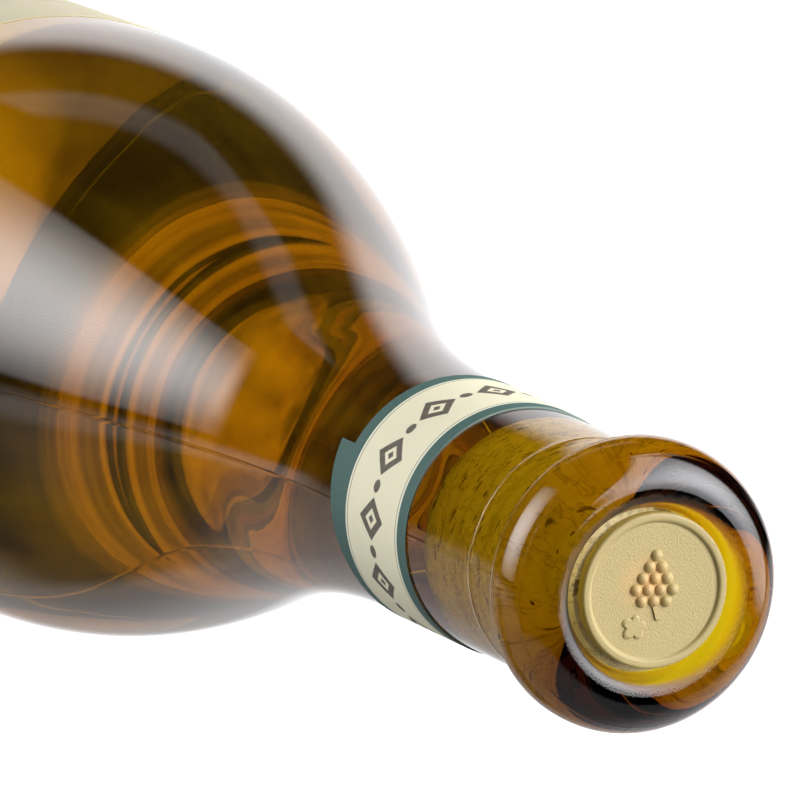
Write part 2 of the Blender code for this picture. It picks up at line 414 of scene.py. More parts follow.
def arc(centre: Point, radii: Point, start: float, end: float, steps: int) -> list[Point]:
    """Return points of an elliptical arc.

    Args:
        centre: The arc's centre.
        radii: Its half widths along the radius and the height.
        start: The first angle.
        end: The last angle.
        steps: The number of pieces.

    Returns:
        The points, both ends included.
    """
    points = []
    for step in range(steps + 1):
        angle = start + (end - start) * step / steps
        points.append((centre[0] + radii[0] * math.cos(angle), centre[1] + radii[1] * math.sin(angle)))
    return points


def bezier(corners: tuple[Point, Point, Point, Point], steps: int) -> list[Point]:
    """Return points of a cubic curve, both ends included."""
    points = []
    for step in range(steps + 1):
        t = step / steps
        s = 1 - t
        weights = (s ** 3, 3 * s * s * t, 3 * s * t * t, t ** 3)
        points.append(tuple(sum(w * p[axis] for w, p in zip(weights, corners)) for axis in (0, 1)))
    return points


def straight(first: Point, last: Point, steps: int) -> list[Point]:
    """Return points of a straight line, both ends included."""
    points = []
    for step in range(steps + 1):
        share = step / steps
        points.append(tuple(a + (b - a) * share for a, b in zip(first, last)))
    return points


def dome(rim: Point, apex: float, steps: int) -> list[Point]:
    """Return a parabolic dome from its rim to the axis."""
    points = []
    for step in range(steps + 1):
        radius = rim[0] * (1 - step / steps)
        points.append((radius, rim[1] + (apex - rim[1]) * (1 - (radius / rim[0]) ** 2)))
    return points


def beaded(points: list[Point], height: float, rise: float, half: float, steps: int = 8) -> list[Point]:
    """Raise a fine rounded bead across a line, where it first passes a height.

    Args:
        points: The line.
        height: The height at which the bead sits.
        rise: How far it stands out.
        half: Half its width along the line.
        steps: The number of pieces across it.

    Returns:
        The line with the bead in it.
    """
    reach = [0.0]
    for first, second in zip(points, points[1:]):
        reach.append(reach[-1] + math.dist(first, second))
    middle = 0.0
    for index, (first, second) in enumerate(zip(points, points[1:])):
        if (first[1] - height) * (second[1] - height) <= 0 and first[1] != second[1]:
            share = (first[1] - height) / (first[1] - second[1])
            middle = reach[index] + share * (reach[index + 1] - reach[index])
            break

    def place(at: float) -> tuple[Point, Point]:
        """Return the point and the outward direction at a length along the line."""
        for index in range(len(points) - 1):
            if reach[index + 1] >= at:
                span = reach[index + 1] - reach[index]
                share = (at - reach[index]) / span
                a, b = points[index], points[index + 1]
                spot = (a[0] + (b[0] - a[0]) * share, a[1] + (b[1] - a[1]) * share)
                return spot, (-(b[1] - a[1]) / span, (b[0] - a[0]) / span)
        return points[-1], (1.0, 0.0)

    before = [p for p, at in zip(points, reach) if at < middle - half]
    after = [p for p, at in zip(points, reach) if at > middle + half]
    bead = []
    for step in range(steps + 1):
        offset = -half + 2 * half * step / steps
        spot, out = place(middle + offset)
        lift = rise * (0.5 + 0.5 * math.cos(math.pi * offset / half))
        bead.append((spot[0] + out[0] * lift, spot[1] + out[1] * lift))
    return before + bead + after


def make_lathe() -> Shape:
    """Return the tree that turns a line round Z, with two mould seams on +X and -X.

    Returns:
        The tree. Crowding gathers the columns of faces at the two seams.
    """
    shape = Shape(
        "turned_body",
        {
            "Columns": "NodeSocketInt",
            "Crowding": "NodeSocketFloat",
            "Seam Rise": "NodeSocketFloat",
            "Seam Width": "NodeSocketFloat",
            "Merge": "NodeSocketFloat",
            "Finish": "NodeSocketMaterial",
        },
    )
    g = shape.graph
    count = g.node(
        "GeometryNodeAttributeDomainSize", {"component": "MESH"}, {"Geometry": shape.source}, "Point Count"
    )
    grid = g.node(
        "GeometryNodeMeshGrid",
        None,
        {"Size X": 1.0, "Size Y": 1.0, "Vertices X": shape.given("Columns"), "Vertices Y": count},
    )
    place = g.node("GeometryNodeInputPosition")
    across, along, _ = g.split(place)
    row = g.calc("ROUND", (along + 0.5) * (count - 1.0))
    share = across + 0.5
    angle = share * (2 * math.pi) - g.calc("SINE", share * (4 * math.pi)) * shape.given("Crowding") * 0.5
    spot = g.node(
        "GeometryNodeSampleIndex",
        {"data_type": "FLOAT_VECTOR", "domain": "POINT", "clamp": True},
        {"Geometry": shape.source, "Value": place, "Index": row},
    )
    weight = g.node(
        "GeometryNodeInputNamedAttribute", {"data_type": "FLOAT"}, {"Name": "seam"}, "Attribute"
    )
    seam = g.node(
        "GeometryNodeSampleIndex",
        {"data_type": "FLOAT", "domain": "POINT", "clamp": True},
        {"Geometry": shape.source, "Value": weight, "Index": row},
    )
    radius, _, height = g.split(spot)
    aside = radius * g.calc("SINE", angle) / shape.given("Seam Width")
    ridge = g.calc("EXPONENT", -(aside * aside)) * shape.given("Seam Rise") * seam
    wide = radius + ridge
    turned = g.join(wide * g.calc("COSINE", angle), wide * g.calc("SINE", angle), height)
    moved = g.node("GeometryNodeSetPosition", None, {"Geometry": grid, "Position": turned})
    merged = g.node(
        "GeometryNodeMergeByDistance", None, {"Geometry": moved, "Distance": shape.given("Merge")}
    )
    smooth = g.node("GeometryNodeSetShadeSmooth", None, {"Geometry": merged})
    shape.close(smooth, shape.given("Finish"))
    return shape


@dataclass(frozen=True)
class Lathe:
    """The shared settings of every turned piece."""

    shape: Shape
    merge: float = 1e-6

    def turn(
        self,
        name: str,
        points: list[Point],
        finish: bpy.types.Material,
        columns: int,
        crisp: float,
        seam: Optional[list[float]] = None,
        crowding: float = 0.0,
        seam_rise: float = 0.0,
        seam_width: float = 0.001,
    ) -> bpy.types.Object:
        """Turn a line into a finished piece.

        Args:
            name: The piece's name.
            points: The (radius, height) line.
            finish: Its material.
            columns: The number of columns of faces.
            crisp: The angle above which an edge stays crisp.
            seam: The share of the seam's rise at each point.
            crowding: How strongly the columns gather at the seams.
            seam_rise: How far the seams stand out.
            seam_width: Their width.

        Returns:
            The piece.
        """
        item = self.shape.run(
            name,
            line_mesh(name + "_line", points, seam),
            {
                "Columns": columns + 1,
                "Crowding": crowding,
                "Seam Rise": seam_rise,
                "Seam Width": seam_width,
                "Merge": self.merge,
                "Finish": finish,
            },
        )
        item.data.set_sharp_from_angle(angle=crisp)
        return item


def new_material(name: str) -> tuple[bpy.types.Material, Graph]:
    """Return an empty material and its graph."""
    material = bpy.data.materials.new(name)
    material.use_nodes = True
    return material, Graph(material.node_tree)


def object_place(g: Graph) -> Term:
    """Return the place on the object."""
    return g.node("ShaderNodeTexCoord", None, None, "Object")


def from_axis(g: Graph, x: Term, y: Term) -> Term:
    """Return the distance from the bottle's axis."""
    return g.calc("SQRT", x * x + y * y)


@dataclass(frozen=True)
class GlassFinish:
    """Olive-brown bottle glass: clear, a little wavy, frosted round the mouth."""

    lip_top: float
    name: str = "olive_glass"
    ior: float = 1.5
    density: float = 650.0
    kept: Colour = (0.947, 0.895, 0.0)
    polish: float = 0.012
    frost: float = 0.34
    frost_radius: float = 0.0116
    frost_edge: Point = (-0.0007, 0.0004)
    frost_depth: Point = (0.0022, 0.0034)
    frost_grain: float = 0.000025
    speckle_scale: float = 2600.0
    ragged_scale: float = 700.0
    ragged_reach: float = 0.0007
    wave_stretch: tuple[float, float, float] = (1.0, 1.0, 0.55)
    wave_scale: float = 45.0
    wave_height: float = 0.00009

    def build(self) -> bpy.types.Material:
        """Return the material."""
        material, g = new_material(self.name)
        place = object_place(g)
        x, y, z = g.split(place)
        speckle = g.noise(place, self.speckle_scale, 1.0, 0.6)
        ragged = (g.noise(place, self.ragged_scale, 1.0, 0.6) - 0.5) * self.ragged_reach
        past_edge = from_axis(g, x, y) + ragged - self.frost_radius
        level = 1.0 - g.fade(self.lip_top - z, *self.frost_depth)
        ring = (1.0 - g.fade(past_edge, *self.frost_edge)) * level
        waves = g.noise(g.scaled(place, self.wave_stretch), self.wave_scale, 2.0, 0.4)
        g.dress(
            {
                "Base Color": (1.0, 1.0, 1.0, 1.0),
                "Roughness": self.polish + ring * self.frost * (0.55 + speckle * 0.9),
                "IOR": self.ior,
                "Transmission Weight": 1.0,
                "Normal": g.bump(speckle, self.frost_grain, ring, g.bump(waves, self.wave_height)),
            },
            g.stained(self.kept, self.density),
        )
        return material


@dataclass(frozen=True)
class WineFinish:
    """Pale straw-coloured white wine."""

    name: str = "white_wine"
    ior: float = 1.34
    density: float = 9.0
    kept: Colour = (0.86, 0.76, 0.36)
    swell_scale: float = 20.0
    swell_height: float = 0.00002

    def build(self) -> bpy.types.Material:
        """Return the material."""
        material, g = new_material(self.name)
        swell = g.noise(object_place(g), self.swell_scale, 0.0)
        g.dress(
            {
                "Base Color": (1.0, 1.0, 1.0, 1.0),
                "Roughness": 0.0,
                "IOR": self.ior,
                "Transmission Weight": 1.0,
                "Normal": g.bump(swell, self.swell_height),
            },
            g.stained(self.kept, self.density),
        )
        return material


@dataclass(frozen=True)
class CorkFinish:
    """Pressed natural cork with growth bands and small flecks."""

    name: str = "cork"
    pale: Colour = (0.90, 0.80, 0.58)
    deep: Colour = (0.74, 0.61, 0.40)
    fleck: Colour = (0.28, 0.19, 0.10)

    def build(self) -> bpy.types.Material:
        """Return the material."""
        material, g = new_material(self.name)
        place = object_place(g)
        bands = g.noise(g.scaled(place, (0.5, 0.5, 2.6)), 260.0, 3.0, 0.6)
        cells = g.noise(place, 1500.0, 3.0, 0.6)
        spots = g.noise(g.scaled(place, (0.55, 0.55, 1.6)), 900.0, 2.0, 0.5)
        mottled = g.mix(g.fade(bands, 0.35, 0.70), self.pale, self.deep)
        grained = g.mix(g.fade(cells, 0.45, 0.8) * 0.5, mottled, self.deep)
        flecked = g.mix(g.fade(spots, 0.62, 0.70), grained, self.fleck)
        swirl = g.noise(g.scaled(place, (1.0, 1.0, 0.7)), 330.0, 4.0, 0.65)
        veins = 1.0 - g.fade(g.calc("ABSOLUTE", swirl - 0.5), 0.006, 0.022)
        veined = g.mix(veins * 0.42, flecked, self.fleck)
        g.dress(
            {
                "Base Color": veined,
                "Roughness": 0.86,
                "Normal": g.bump(cells - g.fade(spots, 0.62, 0.7), 0.0001),
            }
        )
        return material


@dataclass(frozen=True)
class PoreFinish:
    """The dark lining of a pore in the cork."""

    name: str = "cork_pore"
    colour: Colour = (0.16, 0.10, 0.05)
    dust: Colour = (0.20, 0.12, 0.06)

    def build(self) -> bpy.types.Material:
        """Return the material."""
        material, g = new_material(self.name)
        tone = g.mix(g.noise(object_place(g), 3000.0, 2.0), self.colour, self.dust)
        g.dress({"Base Color": tone, "Roughness": 0.95})
        return material


@dataclass(frozen=True)
class LacquerFinish:
    """Pale khaki-gold lacquer with a fine grain, a little warmer in the middle."""

    name: str = "pale_gold_lacquer"
    colour: Colour = (0.400, 0.314, 0.122)
    hollow: Colour = (0.325, 0.250, 0.090)
    warm: Colour = (0.66, 0.36, 0.12)
    warm_centre: Point = (0.0006, -0.0012)
    grain: float = 5200.0

    def build(self) -> bpy.types.Material:
        """Return the material."""
        material, g = new_material(self.name)
        place = object_place(g)
        x, y, _ = g.split(place)
        radius = from_axis(g, x, y)
        aside = from_axis(g, x - self.warm_centre[0], y - self.warm_centre[1])
        field = 1.0 - g.fade(radius, 0.0076, 0.0080)
        grain = g.noise(place, self.grain, 2.0, 0.6)
        cloud = g.noise(place, 420.0, 2.0, 0.5)
        tone = g.mix(g.fade(grain, 0.35, 0.75) * 0.45, self.colour, self.hollow)
        warmed = g.mix((1.0 - g.fade(aside, 0.0004, 0.0042)) * cloud * 1.1, tone, self.warm)
        height = grain * (0.35 + field * 0.65)
        g.dress(
            {
                "Base Color": warmed,
                "Metallic": 0.0,
                "Roughness": 0.42 + grain * 0.15,
                "Coat Weight": 0.15,
                "Coat Roughness": 0.35,
                "Normal": g.bump(height, 0.00007),
            }
        )
        return material


@dataclass(frozen=True)
class BandPaperFinish:
    """Cream paper with green edges, fine rules and a row of printed lozenges.

    The piece's UV map runs along the strip and down from its upper edge, both
    as shares of the strip's width.
    """

    pitch: float
    name: str = "band_paper"
    cream: Colour = (0.90, 0.855, 0.63)
    shade: Colour = (0.84, 0.785, 0.55)
    green: Colour = (0.046, 0.100, 0.086)
    pale_line: Colour = (0.84, 0.85, 0.66)
    ink: Colour = (0.060, 0.042, 0.030)
    border: float = 0.122
    line: float = 0.022
    rule: float = 0.009
    lozenge: float = 0.17
    dot: float = 0.045

    def build(self) -> bpy.types.Material:
        """Return the material."""
        material, g = new_material(self.name)
        along, down, _ = g.split(g.node("ShaderNodeTexCoord", None, None, "UV"))
        place = object_place(g)
        fibre = g.noise(place, 1900.0, 3.0, 0.65)
        cloud = g.noise(place, 160.0, 2.0, 0.5)
        edge = g.calc("MINIMUM", down, 1.0 - down)
        green_mask = 1.0 - g.fade(edge, self.border - 0.004, self.border + 0.004)
        line_mask = g.between(edge, self.border, self.border + self.line, 0.004)
        rule_at = self.border + self.line + self.rule / 2
        rule_mask = g.between(edge, rule_at - self.rule / 2, rule_at + self.rule / 2, 0.003)
        cell = g.calc("WRAP", along, self.pitch / 2, -self.pitch / 2)
        half = g.calc("WRAP", along + self.pitch / 2, self.pitch / 2, -self.pitch / 2)
        rise = g.calc("ABSOLUTE", down - 0.5)
        diamond = g.calc("ABSOLUTE", cell) * 1.25 + rise
        solid = 1.0 - g.fade(diamond, self.lozenge - 0.012, self.lozenge)
        hollow = 1.0 - g.fade(diamond, self.lozenge * 0.52 - 0.012, self.lozenge * 0.52)
        heart = 1.0 - g.fade(diamond, self.lozenge * 0.24 - 0.012, self.lozenge * 0.24)
        spot = 1.0 - g.fade(g.calc("SQRT", half * half + rise * rise), self.dot - 0.01, self.dot)
        print_mask = g.calc("MAXIMUM", solid - hollow + heart, spot)
        paper = g.mix(cloud * 0.5 + fibre * 0.35, self.cream, self.shade)
        printed = g.mix(print_mask * (0.80 + fibre * 0.2), paper, self.ink)
        ruled = g.mix(rule_mask * 0.75, printed, self.ink)
        lined = g.mix(line_mask * 0.8, ruled, self.pale_line)
        deep_green = g.mix(fibre, self.green, tuple(c * 1.9 for c in self.green))
        edged = g.mix(green_mask, lined, deep_green)
        cut = 1.0 - g.fade(down, 0.002, 0.007)
        final = g.mix(cut * 0.5, edged, (0.30, 0.34, 0.30))
        g.dress(
            {
                "Base Color": final,
                "Roughness": 0.62 + fibre * 0.2,
                "Normal": g.bump(fibre, 0.00003),
            }
        )
        return material


@dataclass(frozen=True)
class LabelPaperFinish:
    """Bare cream label paper with a fine pressed frame.

    The piece's UV map gives the distance from its left and lower edges, in
    metres.
    """

    width: float
    height: float
    name: str = "label_paper"
    cream: Colour = (0.59, 0.54, 0.34)
    shade: Colour = (0.53, 0.47, 0.295)
    frame_inset: float = 0.0180
    frame_width: float = 0.0007
    frame_tone: Colour = (0.30, 0.26, 0.15)

    def build(self) -> bpy.types.Material:
        """Return the material."""
        material, g = new_material(self.name)
        across, up, _ = g.split(g.node("ShaderNodeTexCoord", None, None, "UV"))
        place = object_place(g)
        fibre = g.noise(place, 1500.0, 3.0, 0.65)
        laid = g.noise(g.scaled(place, (0.6, 0.6, 3.0)), 600.0, 1.0, 0.4)
        cloud = g.noise(place, 90.0, 2.0, 0.5)
        side = g.calc("MINIMUM", across, self.width - across)
        end = g.calc("MINIMUM", up, self.height - up)
        edge = g.calc("MINIMUM", side, end)
        first = g.between(edge, self.frame_inset, self.frame_inset + self.frame_width, 0.00006)
        inner = self.frame_inset + 2.2 * self.frame_width
        second = g.between(edge, inner, inner + self.frame_width * 0.35, 0.00005)
        paper = g.mix(cloud * 0.5 + fibre * 0.35, self.cream, self.shade)
        framed = g.mix(g.calc("MAXIMUM", first, second) * 0.7, paper, self.frame_tone)
        g.dress(
            {
                "Base Color": framed,
                "Roughness": 0.66 + fibre * 0.2,
                "Coat Weight": 0.28,
                "Coat Roughness": 0.22,
                "Normal": g.bump(fibre + laid * 0.6 - first * 1.2, 0.00003),
            }
        )
        return material


@dataclass
class Bottle:
    """The glass of the bottle and the lines that its contents share."""

    height: float = 0.304
    body_radius: float = 0.04105
    mouth_radius: float = 0.0103
    mouth_depth: float = 0.0005
    crown_radius: float = 0.0118
    flange_radius: float = 0.0169
    flange_depth: float = 0.0058
    back_depth: float = 0.0088
    back_radius: float = 0.0150
    back_turn: float = math.radians(76)
    neck_top: Point = (0.01425, 0.0125)
    neck_radius: float = 0.0150
    shoulder_top: float = 0.0565
    shoulder_bottom: float = 0.1890
    top_pull: float = 0.0578
    bottom_pull: float = 0.0538
    heel_height: float = 0.0095
    ring_outer: float = 0.0345
    ring_inner: float = 0.0300
    punt_height: float = 0.0200
    bore_radius: float = 0.0093
    bore_top: float = 0.0030
    step: Point = (0.00985, 0.0016)
    bore_bottom: float = 0.0480
    inner_neck: float = 0.0104
    inner_body: float = 0.0381
    inner_heel: float = 0.0090
    inner_floor: float = 0.0060
    inner_punt: float = 0.0250
    parting_depth: float = 0.0019
    ridge_depth: float = 0.0066
    collar_depth: float = 0.0185
    seam_depth: float = 0.0013
    seam_rise: float = 0.00002
    seam_width: float = 0.00016
    crowding: float = 0.93
    columns: int = 288
    crisp: float = math.radians(34)

    def shoulder(self, top_radius: float, bottom_radius: float, steps: int) -> list[Point]:
        """Return the sloping shoulder between the neck and the body.

        Args:
            top_radius: The radius at the neck.
            bottom_radius: The radius at the body.
            steps: The number of pieces.

        Returns:
            The line, top to bottom.
        """
        top = self.height - self.shoulder_top
        bottom = self.height - self.shoulder_bottom
        return bezier(
            (
                (top_radius, top),
                (top_radius, top - self.top_pull),
                (bottom_radius, bottom + self.bottom_pull),
                (bottom_radius, bottom),
            ),
            steps,
        )

    def outer_line(self) -> list[Point]:
        """Return the outside of the glass, from the mouth edge to the punt."""
        flange = self.height - self.flange_depth
        crown_width = self.flange_radius - self.crown_radius
        mouth = (self.mouth_radius, self.height - self.mouth_depth)
        crown = bezier(
            (
                mouth,
                (self.mouth_radius + 0.0003, self.height - self.mouth_depth * 0.45),
                (self.crown_radius - 0.0008, self.height),
                (self.crown_radius, self.height),
            ),
            8,
        )
        lip = arc((self.crown_radius, flange), (crown_width, self.flange_depth), math.pi / 2, 0.0, 30)
        back_radii = (self.flange_radius - self.back_radius, self.back_depth - self.flange_depth)
        back = arc((self.back_radius, flange), back_radii, 0.0, -self.back_turn, 12)
        neck_top = (self.neck_top[0], self.height - self.neck_top[1])
        leave = back[-1]
        root = bezier(
            (leave, (leave[0] - 0.0007, leave[1] - 0.0001), (neck_top[0], neck_top[1] + 0.0022), neck_top), 9
        )
        slope = self.shoulder(self.neck_radius, self.body_radius, 60)
        neck = straight(neck_top, slope[0], 12)
        body = straight(slope[-1], (self.body_radius, self.heel_height), 6)
        heel_radii = (self.body_radius - self.ring_outer, self.heel_height)
        heel = arc((self.ring_outer, self.heel_height), heel_radii, 0.0, -math.pi / 2, 12)
        punt = dome((self.ring_inner, 0.0), self.punt_height, 16)
        line = crown + lip[1:] + back[1:] + root[1:] + neck[1:] + slope[1:] + body[1:] + heel[1:] + punt
        line = beaded(line, self.height - self.parting_depth, 0.000018, 0.00022)
        line = beaded(line, self.height - self.ridge_depth, 0.00005, 0.00025)
        return beaded(line, self.height - self.collar_depth, 0.00006, 0.0004)

    def inner_line(self, inset: float = 0.0, lift: float = 0.0, top: Optional[float] = None) -> list[Point]:
        """Return the inside of the glass below the bore, top to bottom.

        Args:
            inset: How far the wall moves inwards.
            lift: How far the floor moves up.
            top: The height that it starts at, where that is lower.

        Returns:
            The line, ending on the axis.
        """
        floor = self.inner_floor + lift
        slope = self.shoulder(self.inner_neck - inset, self.inner_body - inset, 60)
        centre = (self.inner_body - self.inner_heel, floor + self.inner_heel)
        heel = arc(centre, (self.inner_heel - inset, self.inner_heel), 0.0, -math.pi / 2, 12)
        body = straight(slope[-1], heel[0], 6)
        line = slope + body[1:] + heel[1:] + dome(heel[-1], self.inner_punt + lift, 16)[1:]
        if top is None:
            return line
        return [point for point in line if point[1] < top]

    def bore_line(self) -> list[Point]:
        """Return the bore, from below the cork up to the mouth edge."""
        entry = bezier(
            (
                (self.bore_radius, self.height - self.bore_top),
                (self.bore_radius, self.height - self.bore_top + 0.0008),
                (self.step[0], self.height - self.step[1] - 0.0003),
                (self.mouth_radius, self.height - self.mouth_depth),
            ),
            10,
        )
        return [(self.bore_radius, self.height - self.bore_bottom)] + entry[:-1]

    def outer_radius(self, height: float) -> float:
        """Return the outer radius of the glass at one height of neck or shoulder."""
        line = self.outer_line()
        for upper, lower in zip(line, line[1:]):
            if upper[1] >= height >= lower[1] and upper[1] < self.height - self.back_depth:
                share = (upper[1] - height) / (upper[1] - lower[1])
                return upper[0] + (lower[0] - upper[0]) * share
        return self.neck_radius

    def build(self, lathe: Lathe) -> None:
        """Turn the glass.

        Args:
            lathe: The lathe.
        """
        outer = self.outer_line()
        line = outer[::-1] + self.bore_line()[::-1] + self.inner_line()
        top = self.height - self.seam_depth
        seam = []
        for index, (radius, height) in enumerate(line):
            outside = index < len(outer) and (radius > self.ring_outer or height > self.punt_height)
            seam.append(1.0 if outside and height < top else 0.0)
        glass = lathe.turn(
            "bottle_glass",
            line,
            GlassFinish(lip_top=self.height).build(),
            self.columns,
            self.crisp,
            seam,
            self.crowding,
            self.seam_rise,
            self.seam_width,
        )
        keep(glass, Slot.GLASS, "glass_bottle")


@dataclass
class Fill:
    """The wine up to its level, just into the wall of the glass."""

    bottle: Bottle
    depth: float = 0.0550
    bite: float = 0.00012
    meniscus: float = 0.0011
    columns: int = 160

    def build(self, lathe: Lathe) -> None:
        """Turn the wine with its curved edge.

        Args:
            lathe: The lathe.
        """
        level = self.bottle.height - self.depth
        wall = self.bottle.inner_neck + self.bite
        rim = wall - 0.0016
        surface = [(0.0, level), (rim * 0.5, level)]
        surface += bezier(
            ((rim, level), (wall - 0.0006, level), (wall, level + 0.0003), (wall, level + self.meniscus)), 8
        )
        side = self.bottle.inner_line(-self.bite, -self.bite, level - 0.0004)
        wine = lathe.turn(
            "wine_fill", surface + side, WineFinish().build(), self.columns, math.radians(40)
        )
        keep(wine, Slot.WINE, "wine")


def make_pore_scatter() -> Shape:
    """Return the tree that strews flat pores over the side of the cork.

    Returns:
        The tree. Each pore lies along the girth and is one small flat ball.
    """
    shape = Shape(
        "cork_pores",
        {
            "Density": "NodeSocketFloat",
            "Shortest": "NodeSocketVector",
            "Longest": "NodeSocketVector",
            "Seed": "NodeSocketInt",
            "Finish": "NodeSocketMaterial",
        },
    )
    g = shape.graph
    strewn = g.node(
        "GeometryNodeDistributePointsOnFaces",
        {"distribute_method": "RANDOM"},
        {"Mesh": shape.source, "Density": shape.given("Density"), "Seed": shape.given("Seed")},
        "Points",
    )
    upright = g.node(
        "FunctionNodeAlignRotationToVector", {"axis": "X"}, {"Vector": strewn.out("Normal")}
    )
    level = g.node(
        "FunctionNodeAlignRotationToVector",
        {"axis": "Z", "pivot_axis": "X"},
        {"Rotation": upright, "Vector": (0.0, 0.0, 1.0)},
    )
    size = g.node(
        "FunctionNodeRandomValue",
        {"data_type": "FLOAT_VECTOR"},
        {0: shape.given("Shortest"), 1: shape.given("Longest"), "Seed": shape.given("Seed")},
    )
    ball = g.node("GeometryNodeMeshUVSphere", None, {"Segments": 8, "Rings": 5, "Radius": 1.0})
    pores = g.node(
        "GeometryNodeInstanceOnPoints",
        None,
        {"Points": strewn, "Instance": ball, "Rotation": level, "Scale": size},
    )
    shape.close(pores, shape.given("Finish"))
    return shape


@dataclass
class Stopper:
    """The cork, gripped by the bore, with its pores."""

    bottle: Bottle
    top_depth: float = 0.0024
    length: float = 0.0332
    bite: float = 0.00005
    chamfer: float = 0.0006
    columns: int = 96
    pore_density: float = 60000.0
    pore_smallest: tuple[float, float, float] = (0.00006, 0.00018, 0.00007)
    pore_largest: tuple[float, float, float] = (0.00010, 0.00065, 0.00018)

    def side(self) -> bpy.types.Mesh:
        """Return the cork's bare side as an open tube, for the pores."""
        mesh = bpy.data.meshes.new("cork_side")
        work = bmesh.new()
        top = self.bottle.height - self.top_depth - self.chamfer
        radius = self.bottle.bore_radius + self.bite - 0.00004
        rings = []
        for height in (top - self.length + 2 * self.chamfer, top):
            ring = []
            for column in range(self.columns):
                angle = 2 * math.pi * column / self.columns
                ring.append(work.verts.new((radius * math.cos(angle), radius * math.sin(angle), height)))
            rings.append(ring)
        for column in range(self.columns):
            after = (column + 1) % self.columns
            work.faces.new((rings[0][column], rings[0][after], rings[1][after], rings[1][column]))
        work.to_mesh(mesh)
        work.free()
        return mesh

    def build(self, lathe: Lathe) -> None:
        """Turn the cork and strew its pores.

        Args:
            lathe: The lathe.
        """
        top = self.bottle.height - self.top_depth
        low = top - self.length
        radius = self.bottle.bore_radius + self.bite
        inner = radius - self.chamfer
        line = [(0.0, top), (inner * 0.6, top), (inner, top), (radius, top - self.chamfer)]
        line += straight((radius, top - self.chamfer), (radius, low + self.chamfer), 10)[1:]
        line += [(inner, low), (inner * 0.6, low), (0.0, low)]
        cork = lathe.turn("cork_stopper", line, CorkFinish().build(), self.columns, math.radians(20))
        keep(cork, Slot.CORK, "cork")
        pores = make_pore_scatter().run(
            "cork_pores",
            self.side(),
            {
                "Density": self.pore_density,
                "Shortest": self.pore_smallest,
                "Longest": self.pore_largest,
                "Seed": SEED,
                "Finish": PoreFinish().build(),
            },
        )
        keep(pores, Slot.CORK)


def make_berry_cluster() -> Shape:
    """Return the tree that sets one berry on each point of a mesh.

    Returns:
        The tree.
    """
    shape = Shape("berry_cluster", {"Berry Radius": "NodeSocketFloat", "Finish": "NodeSocketMaterial"})
    g = shape.graph
    ball = g.node(
        "GeometryNodeMeshUVSphere",
        None,
        {"Segments": 24, "Rings": 14, "Radius": shape.given("Berry Radius")},
    )
    berries = g.node("GeometryNodeInstanceOnPoints", None, {"Points": shape.source, "Instance": ball})
    smooth = g.node("GeometryNodeSetShadeSmooth", None, {"Geometry": berries})
    shape.close(smooth, shape.given("Finish"))
    return shape


